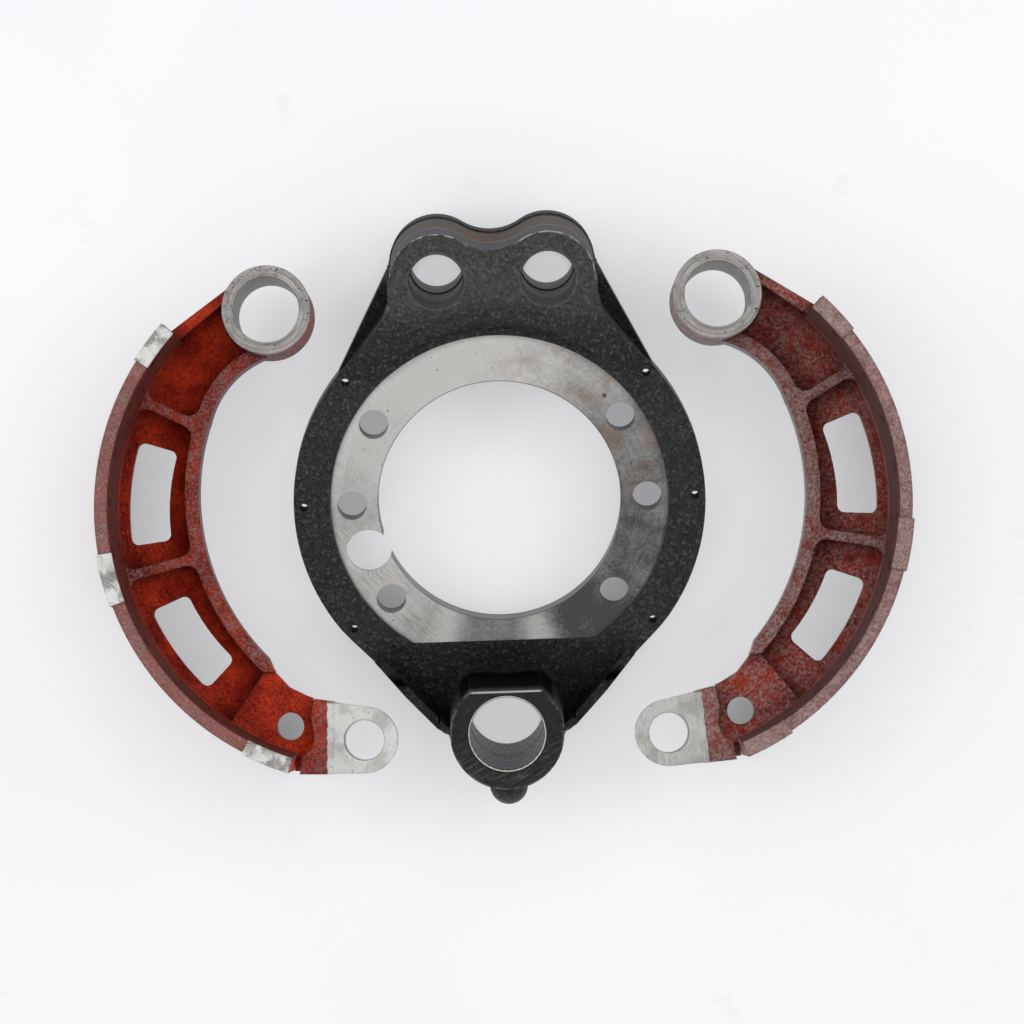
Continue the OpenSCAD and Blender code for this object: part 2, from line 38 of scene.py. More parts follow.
# places of the castings in the row frame, in millimetres and radians
SHIFT_X, SHIFT_Y, RISE = -2.856, 3.476, 57.060
LEAN = math.radians(12.8373)
MID = 81.2
LEFT = (SHIFT_X - 85.9, SHIFT_Y - 4.5, math.radians(-1.9), 1)
RIGHT = (SHIFT_X + 90.9, SHIFT_Y - 6.9, math.radians(-4.7), -1)

# sizes of the spider in its own frame, which its paint follows
BORE_R, FACE_R, LEDGE_R = 82.5, 115.0, 119.0
BOLT_R, BOLT_PITCH, BOLT_ANGLES = 10.0, 100.5, (33.5, 0.0, -40.8)
ANCHOR_U, ANCHOR_V, ANCHOR_R, EAR_R = 37.7, 154.6, 18.3, 32.0
EAR_FRONT, FLASH = 16.0, -60.0
CAM_V, BARREL_R, BARREL_FRONT, HOUSING_R = -148.0, 38.6, 64.0, 27.2
BUSH_BORE, BARREL_FLAT = 25.2, 29.8
BUSH_GAP = (19.4, 25.6)
FACE_CUT_V, FACE_DEPTH = -97.0, 15.0
DIMPLE_ROW, DIMPLES_ROUND = 9.5, 34.0
FLANGE_R, WEB_DROP, TIP_U, TIP_V = 140.0, 8.0, 34.0, -170.0
NOTCH_PITCH, NOTCH_ANGLE = 96.0, math.radians(200.0)
RIB_WIDTH, RIB_RISE, RIB_END_U = 5.9, 11.0, 47.0

# sizes of a shoe that its paint follows
EYE_U, EYE_V, EYE_R, EYE_BORE, EYE_TOP = -70.5, 133.1, 29.8, 22.0, 46.0
ROLLER_U, ROLLER_V, ROLLER_R = -5.2, -155.0, 13.5
SPRING_U, SPRING_V = -55.1, -145.8
# how much further out the camera sees the table than the hole that it looks through
PARALLAX = 1.02
FLANGE_ARC, NECK_ARC = (38.0, 11.6, 155.6), (-49.3, 45.2, 62.3)
END_U, BLOCK_U, BLOCK_V = -30.0, -51.0, -127.5
RIM_INNER, RIM_TOP, PAD_TOP, RIB_TOP = 174.6, 80.0, 81.2, 16.0


class Tree:
    """Short calls that add shader nodes to one node tree."""

    def __init__(self, tree):
        self.tree = tree
        self.tree.nodes.clear()

    def add(self, kind, **settings):
        node = self.tree.nodes.new(kind)
        for name, value in settings.items():
            setattr(node, name, value)
        return node

    def put(self, socket, value):
        if value is None:
            return
        if isinstance(value, bpy.types.NodeSocket):
            self.tree.links.new(value, socket)
        else:
            socket.default_value = value

    def math(self, op, a, b=None, c=None, clamp=False):
        node = self.add("ShaderNodeMath", operation=op, use_clamp=clamp)
        for socket, value in zip(node.inputs, (a, b, c)):
            self.put(socket, value)
        return node.outputs[0]

    def sum(self, *values):
        total = values[0]
        for value in values[1:]:
            total = self.math("ADD", total, value)
        return total

    def scaled(self, a, b):
        return self.math("MULTIPLY", a, b)

    def vector(self, x, y, z):
        node = self.add("ShaderNodeCombineXYZ")
        for socket, value in zip(node.inputs, (x, y, z)):
            self.put(socket, value)
        return node.outputs[0]

    def split(self, vector):
        node = self.add("ShaderNodeSeparateXYZ")
        self.put(node.inputs[0], vector)
        return node.outputs

    def noise(self, vector, scale, detail=3.0, rough=0.55, warp=0.0):
        node = self.add("ShaderNodeTexNoise", noise_dimensions="3D")
        self.put(node.inputs["Vector"], vector)
        self.put(node.inputs["Scale"], scale)
        self.put(node.inputs["Detail"], detail)
        self.put(node.inputs["Roughness"], rough)
        self.put(node.inputs["Distortion"], warp)
        return node.outputs[0]

    def cells(self, vector, scale, feature="F1"):
        node = self.add("ShaderNodeTexVoronoi", feature=feature)
        self.put(node.inputs["Vector"], vector)
        self.put(node.inputs["Scale"], scale)
        return node.outputs[0]

    def step(self, value, low, high):
        """0 below low and 1 above high, smooth between; the other way round when low is above high."""
        node = self.add("ShaderNodeMapRange", interpolation_type="SMOOTHSTEP", clamp=True)
        self.put(node.inputs["Value"], value)
        turned = low > high
        node.inputs["From Min"].default_value = min(low, high)
        node.inputs["From Max"].default_value = max(low, high)
        node.inputs["To Min"].default_value = 1.0 if turned else 0.0
        node.inputs["To Max"].default_value = 0.0 if turned else 1.0
        return node.outputs["Result"]

    def both(self, *masks):
        total = masks[0]
        for mask in masks[1:]:
            total = self.math("MULTIPLY", total, mask)
        return total

    def either(self, *masks):
        total = masks[0]
        for mask in masks[1:]:
            total = self.math("MAXIMUM", total, mask)
        return total

    def no(self, mask):
        return self.math("SUBTRACT", 1.0, mask, clamp=True)

    def mix(self, mask, a, b):
        node = self.add("ShaderNodeMix", data_type="RGBA")
        self.put(node.inputs[0], mask)
        self.put(node.inputs[6], a)
        self.put(node.inputs[7], b)
        return node.outputs[2]

    def coat(self, base, mask, amount, color):
        """The base color with some of another one over it where the mask is 1."""
        return self.mix(self.scaled(mask, amount), base, color)

    def spread(self, noise, gain):
        """A noise turned to swing about zero, by the gain in all."""
        return self.scaled(self.math("SUBTRACT", noise, 0.5), gain)

    def blend(self, mask, a, b):
        node = self.add("ShaderNodeMix", data_type="FLOAT")
        self.put(node.inputs[0], mask)
        self.put(node.inputs[2], a)
        self.put(node.inputs[3], b)
        return node.outputs[0]

    def band(self, value, low, high, soft):
        above = self.step(value, low - soft, low + soft)
        return self.both(above, self.step(value, high + soft, high - soft))

    def open(self, distance):
        """1 on open faces and less in the corners, within the given distance in metres."""
        node = self.add("ShaderNodeAmbientOcclusion", samples=1, only_local=True)
        node.inputs["Distance"].default_value = distance
        return node.outputs["AO"]

    def near(self, u, v, cu, cv):
        du = self.math("SUBTRACT", u, cu)
        dv = self.math("SUBTRACT", v, cv)
        return self.math("SQRT", self.sum(self.scaled(du, du), self.scaled(dv, dv)))

    def millimetres(self):
        coords = self.add("ShaderNodeTexCoord").outputs["Object"]
        scale = self.add("ShaderNodeVectorMath", operation="SCALE")
        self.put(scale.inputs[0], coords)
        scale.inputs["Scale"].default_value = 1000.0
        return scale.outputs[0]


def srgb(r, g, b):
    def one(c):
        c /= 255.0
        return c / 12.92 if c <= 0.04045 else ((c + 0.055) / 1.055) ** 2.4
    return (one(r), one(g), one(b), 1.0)


def group(name, inputs, outputs, build):
    """A shared node group with the given sockets, filled by build(tree, inputs) -> list of outputs."""
    made = bpy.data.node_groups.new(name, "ShaderNodeTree")
    for label, kind in inputs:
        made.interface.new_socket(label, in_out="INPUT", socket_type=kind)
    for label, kind in outputs:
        made.interface.new_socket(label, in_out="OUTPUT", socket_type=kind)
    t = Tree(made)
    enter = t.add("NodeGroupInput")
    leave = t.add("NodeGroupOutput")
    for socket, value in zip(leave.inputs, build(t, enter.outputs)):
        t.put(socket, value)
    return made


def use(t, made, *values):
    node = t.add("ShaderNodeGroup", node_tree=made)
    for socket, value in zip(node.inputs, values):
        t.put(socket, value)
    return node.outputs


def cast_skin(t, inputs):
    """Rough sand-cast skin: height in millimetres, grain and blotch masks."""
    mm = inputs["Vector"]
    coarse = t.noise(mm, 0.12, 2, 0.6)
    grain = t.noise(mm, 0.4, 3, 0.66, 0.5)
    fine = t.noise(mm, 1.0, 1, 0.6)
    pits = t.step(t.cells(mm, 0.36), 0.0, 0.3)
    height = t.sum(t.scaled(coarse, 1.2), t.scaled(grain, 2.6), t.scaled(fine, 0.7), t.scaled(pits, 0.3))
    return [height, grain, t.noise(mm, 0.045, 4, 0.62), pits]


def edge_wear_and_highlight(t, inputs):
    """Mask of outer edges, broken up by noise: there a rounded normal leans away from the true one."""
    bevel = t.add("ShaderNodeBevel", samples=2)
    t.put(bevel.inputs["Radius"], inputs["Radius"])
    true = t.add("ShaderNodeNewGeometry").outputs["Normal"]
    dot = t.add("ShaderNodeVectorMath", operation="DOT_PRODUCT")
    t.put(dot.inputs[0], bevel.outputs[0])
    t.put(dot.inputs[1], true)
    bent = t.step(dot.outputs["Value"], 0.995, 0.86)
    noise = t.noise(inputs["Vector"], 0.35, 4, 0.7)
    return [t.both(bent, t.step(noise, 0.36, 0.6))]


SKIN = group("cast_skin", [("Vector", "NodeSocketVector")],
             [("Height", "NodeSocketFloat"), ("Grain", "NodeSocketFloat"), ("Blotch", "NodeSocketFloat"),
              ("Pits", "NodeSocketFloat")], cast_skin)
WEAR_AND_HIGHLIGHT = group("edge_wear_and_highlight", [("Vector", "NodeSocketVector"), ("Radius", "NodeSocketFloat")],
             [("WearAndHighlight", "NodeSocketFloat")], edge_wear_and_highlight)


def spider_place(t, inputs):
    """Position in the spider's own frame: across, towards the ears, forward, radius and turn."""
    x, y, z = t.split(inputs["Vector"])
    u = t.math("SUBTRACT", x, SHIFT_X)
    dy = t.math("SUBTRACT", y, SHIFT_Y)
    dz = t.math("SUBTRACT", z, RISE)
    v = t.sum(t.scaled(dy, math.cos(LEAN)), t.scaled(dz, math.sin(LEAN)))
    w = t.sum(t.scaled(dy, -math.sin(LEAN)), t.scaled(dz, math.cos(LEAN)))
    radius = t.math("SQRT", t.sum(t.scaled(u, u), t.scaled(v, v)))
    return [u, v, w, radius, t.math("ARCTAN2", v, u)]


SPIDER_AT = group("spider_place", [("Vector", "NodeSocketVector")],
                  [(n, "NodeSocketFloat") for n in ("Across", "Up", "Front", "Radius",
                                                    "Turn")], spider_place)


def principled(mat, t, color, metallic, rough, normal, specular=0.5):
    shader = t.add("ShaderNodeBsdfPrincipled")
    t.put(shader.inputs["Base Color"], color)
    t.put(shader.inputs["Metallic"], metallic)
    t.put(shader.inputs["Roughness"], rough)
    t.put(shader.inputs["Normal"], normal)
    shader.inputs["Specular IOR Level"].default_value = specular
    out = t.add("ShaderNodeOutputMaterial")
    t.put(out.inputs["Surface"], shader.outputs[0])
    return shader


def bump(t, height, strength, distance, rounded=None):
    node = t.add("ShaderNodeBump")
    node.inputs["Strength"].default_value = strength
    node.inputs["Distance"].default_value = distance
    t.put(node.inputs["Height"], height)
    if rounded is not None:
        edge = t.add("ShaderNodeBevel", samples=2)
        edge.inputs["Radius"].default_value = rounded
        t.put(node.inputs["Normal"], edge.outputs[0])
    return node.outputs[0]


def material(name):
    mat = bpy.data.materials.new(name)
    mat.use_nodes = True
    return mat, Tree(mat.node_tree)


def ring_steel(t, mm, u, v, radius, turn, bore, holes):
    """Turned mounting face with painted reflection, bright towards the left and dark to the right, in
    fans and rays; with rust and pits.
    """
    cos_turn = t.math("COSINE", turn)
    sin_turn = t.math("SINE", turn)
    lathe = t.noise(t.vector(t.scaled(cos_turn, 2.0), t.scaled(sin_turn, 2.0), t.scaled(radius, 1.3)),
                    1.0, 4, 0.65)
    # painted reflection: radial streaks of light and dark across the turned face
    ray_sheen = t.noise(t.vector(t.scaled(cos_turn, 6.0), t.scaled(sin_turn, 6.0), 0.0), 1.0, 3, 0.6)
    swirl = t.noise(t.vector(t.scaled(t.sum(u, v), 0.9), t.scaled(t.math("SUBTRACT", u, v), 0.04), 0.0),
                    1.0, 4, 0.7)
    cloud = t.noise(mm, 0.028, 5, 0.62)
    fine = t.noise(mm, 0.5, 3, 0.74)
    # painted reflection: brighter towards the upper left, darker to the right
    side_light = t.math("COSINE", t.math("SUBTRACT", turn, math.radians(138.0)))
    tone = t.sum(0.58, t.scaled(side_light, 0.44), t.spread(cloud, 1.1),
                 t.spread(ray_sheen, 0.4), t.spread(lathe, 0.5), t.spread(fine, 0.7))
    for angle, wide, gain in REFLECTION_FANS:
        middle = math.radians(angle)
        fan = t.band(turn, middle - math.radians(wide), middle + math.radians(wide),
                     math.radians(wide * 0.9))
        tone = t.sum(tone, t.scaled(fan, gain))
    steel = t.mix(t.math("ADD", tone, 0.0, clamp=True), srgb(90, 90, 90), srgb(230, 228, 224))
    # painted highlight: a near white band along the outer edge at the upper left
    outer = t.both(t.band(turn, 1.4, 3.3, 0.3), t.step(radius, 105.0, 114.0), t.step(swirl, 0.38, 0.58))
    steel = t.coat(steel, outer, 0.8, srgb(255, 254, 250))
    low_left = t.both(t.step(u, -20.0, -60.0), t.step(v, 10.0, -30.0), t.step(swirl, 0.5, 0.64))
    steel = t.coat(steel, low_left, 0.4, srgb(96, 92, 84))
    rust = t.both(t.step(t.noise(mm, 0.05, 4, 0.65), 0.44, 0.62), t.step(u, -40.0, 60.0),
                  t.step(v, -60.0, 40.0))
    steel = t.coat(steel, rust, 0.45, srgb(146, 110, 86))
    spots = t.both(t.step(t.noise(mm, 0.5, 2, 0.5), 0.68, 0.74),
                   t.step(t.noise(mm, 0.06, 2, 0.5), 0.42, 0.58))
    dent = t.step(t.near(u, v, 73.3, 70.2), 1.9, 1.2)
    steel = t.coat(steel, t.either(spots, dent), 0.8, srgb(58, 44, 38))
    # painted shade: dark lines along the edges of the bore and of the face, where the steps are
    edge_shade = t.either(t.step(radius, BORE_R + 0.9, BORE_R + 0.3), t.step(radius, FACE_R - 1.2, FACE_R - 0.5))
    steel = t.coat(steel, edge_shade, 0.5, srgb(66, 62, 60))
    steel = t.coat(steel, bore, 0.8, srgb(108, 107, 106))
    steel = t.coat(steel, holes, 0.8, srgb(74, 72, 74))
    return steel, lathe, swirl


def spider_material():
    mat, t = material("spider_black_paint")
    mm = t.millimetres()
    u, v, w, radius, turn = use(t, SPIDER_AT, mm)
    height, grain, blotch = use(t, SKIN, mm)[:3]
    wear_and_highlight = use(t, WEAR_AND_HIGHLIGHT, mm, 0.0012)[0]
    side = t.math("ABSOLUTE", u)
    # bare regions
    ring = t.both(t.step(radius, FACE_R + 0.25, FACE_R - 0.05), t.step(w, 0.7, 0.3),
                  t.step(v, FACE_CUT_V - 0.4, FACE_CUT_V + 0.2), t.step(w, -FACE_DEPTH, 0.8 - FACE_DEPTH))
    bore = t.both(t.step(radius, BORE_R + 0.25, BORE_R + 0.1), ring)
    holes = 0.0
    for angle in map(math.radians, BOLT_ANGLES):
        bolt = t.near(side, v, BOLT_PITCH * math.cos(angle), BOLT_PITCH * math.sin(angle))
        holes = t.either(holes, t.both(t.step(bolt, BOLT_R + 0.25, BOLT_R + 0.1), t.step(w, -0.3, -0.5)))
    anchor = t.near(side, v, ANCHOR_U, ANCHOR_V)
    pin_wall = t.both(t.step(anchor, ANCHOR_R + 1.0, ANCHOR_R + 0.9),
                      t.step(w, EAR_FRONT - 0.5, EAR_FRONT - 0.9))
    cam = t.near(u, v, 0.0, CAM_V)
    barrel_face = t.both(t.step(cam, BARREL_R + 0.9, BARREL_R + 0.4),
                         t.step(w, BARREL_FRONT - 0.7, BARREL_FRONT - 0.3))
    housing = t.step(cam, HOUSING_R + 0.4, HOUSING_R + 0.2)
    steel, lathe, swirl = ring_steel(t, mm, u, v, radius, turn, bore, holes)
    # paint: painted shade makes the cove and the lower web dark, and painted light makes the face of the
    # anchor block greyer
    paint = t.mix(blotch, srgb(26, 26, 27), srgb(52, 52, 53))
    # painted light: the lit face of the anchor block is greyer
    face = t.both(t.step(w, EAR_FRONT - 1.5, EAR_FRONT - 0.6), t.step(v, 116.0, 150.0))
    paint = t.coat(paint, face, 0.65, t.mix(blotch, srgb(50, 51, 48), srgb(76, 76, 73)))
    # painted shade: the lower web beside the barrel is near black
    low = t.both(t.step(v, -92.0, -104.0), t.step(w, BARREL_FRONT - 6.0, BARREL_FRONT - 20.0))
    paint = t.coat(paint, low, 0.7, srgb(11, 11, 12))
    # painted shade: the cove above the mounting face is near black
    cove = t.both(t.step(radius, LEDGE_R + 26.0, LEDGE_R + 8.0), t.step(v, 84.0, 96.0))
    paint = t.coat(paint, cove, 0.65, srgb(14, 14, 14))
    # light specks on the grain are painted glints and dark ones painted shade in its hollows; together
    # they bring out the cast grain
    paint = t.coat(paint, t.step(grain, 0.54, 0.64), 0.5, srgb(108, 108, 108))
    paint = t.coat(paint, t.step(grain, 0.47, 0.37), 0.75, srgb(5, 5, 6))
    # painted shade: near black in the deep corners that the ambient occlusion node finds
    deep_corner_shade = t.step(t.open(0.035), 0.86, 0.42)
    paint = t.coat(paint, deep_corner_shade, 0.85, srgb(5, 5, 6))
    # painted shade: the barrel's flat wall lies in deep shade, so it is painted near black
    flat_wall_shade = t.both(t.step(v, CAM_V + 20.0, CAM_V + 24.0), t.step(v, CAM_V + 44.0, CAM_V + 40.0),
                       t.step(w, 2.0, 6.0), t.step(w, BARREL_FRONT - 1.2, BARREL_FRONT - 16.0))
    paint = t.coat(paint, flat_wall_shade, 0.95, srgb(2, 2, 2))
    # painted highlight: the rounded edges of the black casting are lighter, as where light catches them
    paint = t.coat(paint, wear_and_highlight, 0.4, srgb(112, 112, 114))
    # outer wall of the ears: flash line, ground band with rust, grey front band, bright front edge
    wall = t.both(t.step(v, 150.0, 156.0), t.step(w, EAR_FRONT - 0.6, EAR_FRONT - 1.4),
                  t.no(t.step(anchor, 23.0, 22.0)))
    along = t.noise(t.vector(t.scaled(u, 0.05), t.scaled(v, 0.05), t.scaled(w, 0.9)), 1.0, 4, 0.7)
    patch = t.step(t.noise(mm, 0.075, 4, 0.68), 0.42, 0.58)
    ground = t.both(wall, t.band(w, -56.0, -16.0, 2.5))
    paint = t.coat(paint, t.both(wall, t.step(w, -58.0, -62.0)), 0.55, srgb(78, 76, 74))
    paint = t.coat(paint, ground, 0.85,
                   t.mix(t.step(along, 0.35, 0.65), srgb(52, 47, 43), srgb(108, 101, 96)))
    rusty = t.both(ground, patch, t.step(u, 22.0, 0.0), t.step(u, -26.0, -12.0))
    paint = t.coat(paint, rusty, 0.8, srgb(104, 66, 48))
    paint = t.coat(paint, t.both(ground, t.no(patch), t.step(along, 0.5, 0.66)), 0.5, srgb(70, 60, 54))
    paint = t.coat(paint, t.both(wall, t.step(w, -14.0, -10.0)), 0.7, srgb(92, 90, 94))
    paint = t.coat(paint, t.both(wall, t.band(w, -15.0, -12.5, 0.8)), 0.6, srgb(150, 149, 150))
    chips = t.step(t.noise(mm, 0.16, 3, 0.6), 0.44, 0.56)
    outside = t.either(t.both(t.step(side, 36.0, 40.0), t.step(v, 150.0, 162.0)), t.step(v, 177.0, 181.0))
    front_edge = t.both(t.band(anchor, EAR_R - 0.7, EAR_R + 0.6, 0.3),
                        t.step(w, EAR_FRONT - 2.4, EAR_FRONT - 1.4), outside, chips)
    paint = t.coat(paint, front_edge, 0.75, srgb(196, 196, 194))
    flash = t.both(wall, t.band(w, FLASH - 3.4, FLASH + 0.6, 0.5),
                   t.step(t.noise(mm, 0.3, 3, 0.7), 0.5, 0.56))
    paint = t.coat(paint, flash, 0.9, srgb(16, 15, 15))
    # pin bores: dark near the mouth, olive grey steel further in
    turned = t.noise(t.vector(t.scaled(u, 0.03), t.scaled(v, 0.03), t.scaled(w, 1.2)), 1.0, 3, 0.7)
    inner = t.both(pin_wall, t.step(w, -6.0, -26.0))
    paint = t.coat(paint, pin_wall, 0.8, t.mix(turned, srgb(20, 20, 18), srgb(52, 52, 46)))
    paint = t.coat(paint, inner, 0.85, srgb(112, 111, 100))
    lip = t.both(t.step(anchor, ANCHOR_R + 2.2, ANCHOR_R + 1.2),
                 t.step(w, EAR_FRONT - 0.8, EAR_FRONT - 0.4))
    paint = t.coat(paint, lip, 0.4, srgb(96, 97, 92))
    # front of the barrel: dark, scraped, with a lighter edge
    scratch = t.noise(t.vector(t.scaled(t.sum(v, t.scaled(u, -0.5)), 0.5), t.scaled(u, 0.07), 0.0),
                      1.0, 4, 0.7)
    scraped = t.both(t.step(scratch, 0.46, 0.66), t.step(v, CAM_V + 4.0, CAM_V - 18.0))
    paint = t.coat(paint, barrel_face, 0.8,
                   t.mix(t.scaled(scraped, 0.8), srgb(22, 22, 22), srgb(86, 84, 82)))
    barrel_edge = t.both(t.step(cam, BARREL_R - 1.6, BARREL_R - 0.6),
                         t.step(w, BARREL_FRONT - 1.6, BARREL_FRONT - 0.8))
    paint = t.coat(paint, t.both(barrel_edge, chips), 0.5, srgb(128, 126, 122))
    # painted highlight: a bright line along the edge of the barrel's flat
    flat_edge_highlight = t.both(t.step(v, CAM_V + BARREL_FLAT - 1.5, CAM_V + BARREL_FLAT - 0.9),
                       t.step(v, CAM_V + BARREL_FLAT + 1.0, CAM_V + BARREL_FLAT + 0.5),
                       t.step(w, BARREL_FRONT - 1.6, BARREL_FRONT - 0.8), t.step(side, 25.0, 22.0))
    paint = t.coat(paint, flat_edge_highlight, 0.8, srgb(206, 203, 198))
    paint = t.coat(paint, housing, 0.7, srgb(48, 50, 58))
    # bare band of the barrel's bore between the two bushes
    between_bushes = t.both(housing, t.band(w, *BUSH_GAP, 0.3))
    paint = t.coat(paint, between_bushes, 0.8, srgb(190, 186, 178))
    color = t.mix(ring, paint, steel)
    # no light gets into the deepest corners, so their gloss goes as well
    metal = t.either(t.scaled(t.either(inner, ground), 0.2), t.scaled(deep_corner_shade, 0.7),
                     t.scaled(flat_wall_shade, 0.9), t.scaled(barrel_face, 0.4))
    metal = t.blend(ring, metal, 0.5)
    rough = t.blend(t.either(deep_corner_shade, flat_wall_shade, wall), t.sum(0.26, t.scaled(blotch, 0.22)), 0.85)
    rough = t.blend(ring, rough, t.sum(0.36, t.scaled(lathe, 0.16)))
    smooth = t.either(ring, t.scaled(barrel_face, 0.6), t.scaled(ground, 0.75), t.scaled(pin_wall, 0.8))
    relief = t.blend(smooth, height, t.sum(t.scaled(lathe, 0.04), t.scaled(swirl, 0.03)))
    principled(mat, t, color, metal, rough, bump(t, relief, 1.0, 0.0013, 0.0013), 0.5)
    return mat


def shoe_place(name, place):
    cx, cy, turn, side = place

    def build(t, inputs):
        x, y, z = t.split(inputs["Vector"])
        dx = t.scaled(t.math("SUBTRACT", x, cx), float(side))
        dy = t.math("SUBTRACT", y, cy)
        u = t.sum(t.scaled(dx, math.cos(turn)), t.scaled(dy, math.sin(turn)))
        v = t.sum(t.scaled(dx, -math.sin(turn)), t.scaled(dy, math.cos(turn)))
        w = t.math("SUBTRACT", z, MID)
        radius = t.math("SQRT", t.sum(t.scaled(u, u), t.scaled(v, v)))
        return [u, v, w, radius]

    return group(name, [("Vector", "NodeSocketVector")],
                 [(n, "NodeSocketFloat") for n in ("Across", "Up", "Front", "Radius")], build)


def shoe_material(name, place, side):
    """Red paint over a casting; side is 0 for the left shoe and 1 for the right one, whose paint is more
    rubbed off.
    """
    mat, t = material("shoe_paint_" + name)
    mm = t.millimetres()
    u, v, w, radius = use(t, shoe_place("shoe_place_" + name, place), mm)
    height, grain, blotch, pits = use(t, SKIN, mm)
    wear_and_highlight = use(t, WEAR_AND_HIGHLIGHT, mm, 0.002)[0]
    depth = t.math("ABSOLUTE", w)
    eye = t.near(u, v, EYE_U, EYE_V)
    roller = t.near(u, v, ROLLER_U, ROLLER_V)
    # bare regions
    eye_face = t.both(t.step(eye, EYE_R + 0.3, EYE_R + 0.1), t.step(depth, EYE_TOP - 0.7, EYE_TOP - 0.4))
    eye_wall = t.step(eye, EYE_BORE + 0.5, EYE_BORE + 0.3)
    ragged = t.scaled(t.math("SUBTRACT", t.noise(mm, 0.25, 3, 0.6), 0.5), 3.0)
    end = t.both(t.step(t.sum(u, ragged), END_U - 0.2, END_U + 0.2),
                 t.step(v, BLOCK_V - 0.5, BLOCK_V - 3.5))
    hole = t.step(roller, ROLLER_R + 0.3, ROLLER_R + 0.1)
    low_end = t.both(t.step(u, BLOCK_U - 1.0, BLOCK_U + 1.0), t.step(v, BLOCK_V + 1.5, BLOCK_V - 1.5))
    block = t.both(low_end, t.step(depth, 19.0, 19.6), t.no(end))
    on_rim = t.step(radius, RIM_INNER - 2.6, RIM_INNER - 1.6)
    pad = t.both(t.step(depth, PAD_TOP - 0.7, PAD_TOP - 0.4), on_rim)
    rim_edge = t.both(t.step(depth, RIM_TOP - 0.8, RIM_TOP - 0.4), on_rim, t.no(pad))
    raised = t.both(t.step(depth, RIB_TOP - 0.8, RIB_TOP - 0.3),
                    t.step(depth, RIB_TOP + 0.6, RIB_TOP + 0.3),
                    t.step(radius, RIM_INNER - 3.6, RIM_INNER - 4.6),
                    t.step(eye, EYE_R - 0.3, EYE_R + 0.2))
    flange_arc = t.near(u, v, *FLANGE_ARC[:2])
    neck_arc = t.near(u, v, *NECK_ARC[:2])
    inner_side = t.both(t.either(t.both(t.step(flange_arc, FLANGE_ARC[2] + 0.3, FLANGE_ARC[2] - 0.2),
                                        t.step(v, 58.5, 56.5)),
                                 t.both(t.step(neck_arc, NECK_ARC[2] + 0.3, NECK_ARC[2] - 0.2),
                                        t.step(v, 55.5, 57.5))),
                        t.step(depth, RIB_TOP - 0.1, RIB_TOP - 0.6), t.step(v, -112.0, -100.0))
    # paint: bright on open faces; painted shade makes it nearly black in the corners
    bright, plain, deep = (206, 56, 12), (150, 22, 3), (62, 1, 0)
    if side:
        bright, plain, deep = (176, 60, 34), (134, 46, 34), (70, 6, 3)
    red = t.mix(t.step(blotch, 0.34, 0.62), srgb(*plain), srgb(*bright))
    red = t.coat(red, t.step(grain, 0.5, 0.36), 0.5, srgb(*deep))
    patchy = t.noise(mm, 0.08, 4, 0.62)
    # painted shade: deep red to near black in the corners that the ambient occlusion node finds, broken
    # up by noise
    corners = t.both(t.step(t.sum(t.open(0.018), t.spread(patchy, 0.3)), 0.86, 0.36),
                     t.step(v, -160.0, -146.0))
    red = t.coat(red, corners, 0.85, srgb(*deep))
    red = t.coat(red, t.no(pits), 0.4, srgb(*deep))
    # paint rubbed off the raised faces, in fine specks
    scuff = t.noise(mm, 0.1, 5, 0.7)
    speck = t.noise(mm, 0.62, 3, 0.72)
    rubbed = t.step(t.sum(t.scaled(scuff, 0.5), speck), *((0.66, 0.84) if side else (0.7, 0.88)))
    bare = t.mix(grain, srgb(104, 84, 84), srgb(166, 142, 138))
    skin = t.mix(blotch, srgb(96, 44, 36), srgb(134, 62, 50))
    red = t.coat(red, t.either(raised, block), 0.55 if side else 0.35, skin)
    red = t.coat(red, t.both(raised, rubbed), 0.85, bare)
    red = t.coat(red, rim_edge, 0.7, t.mix(speck, srgb(92, 58, 52), srgb(150, 124, 118)))
    red = t.coat(red, t.both(rim_edge, rubbed), 0.8, bare)
    red = t.coat(red, t.both(block, rubbed), 0.6, bare)
    if side:
        dusty = t.both(t.step(t.noise(mm, 0.42, 4, 0.74), 0.43, 0.57), t.step(scuff, 0.38, 0.52),
                       t.no(corners))
        red = t.coat(red, dusty, 0.8, srgb(172, 138, 134))
    red = t.coat(red, wear_and_highlight, 0.45, srgb(128, 98, 92))
    # inner wall of the table and inner side of the flange
    wall = t.both(t.step(radius, RIM_INNER - 5.0, RIM_INNER - 3.4),
                  t.step(radius, RIM_INNER + 2.0, RIM_INNER + 1.0),
                  t.band(depth, 18.0, RIM_TOP - 0.8, 0.6), t.step(eye, EYE_R + 0.5, EYE_R + 1.5),
                  t.no(low_end))
    red = t.coat(red, wall, 0.8, t.mix(t.step(speck, 0.4, 0.6), srgb(26, 10, 8), srgb(66, 40, 35)))
    stripe = t.noise(t.vector(t.scaled(u, 0.02), t.scaled(v, 0.02), t.scaled(w, 0.22)), 1.0, 3, 0.6)
    red = t.coat(red, inner_side, 0.85,
                 t.mix(t.step(stripe, 0.4, 0.54), srgb(34, 28, 27), srgb(112, 107, 103)))
    streak = t.noise(t.vector(t.scaled(u, 0.35), t.scaled(v, 0.35), t.scaled(w, 0.04)), 1.0, 4, 0.65)
    skirt = t.both(t.step(eye, EYE_R + 2.2, EYE_R + 1.2), t.step(eye, EYE_R - 0.9, EYE_R - 0.5),
                   t.step(depth, EYE_TOP - 0.5, EYE_TOP - 1.5))
    red = t.coat(red, t.both(skirt, t.step(streak, 0.42, 0.58)), 0.8, srgb(52, 36, 34))
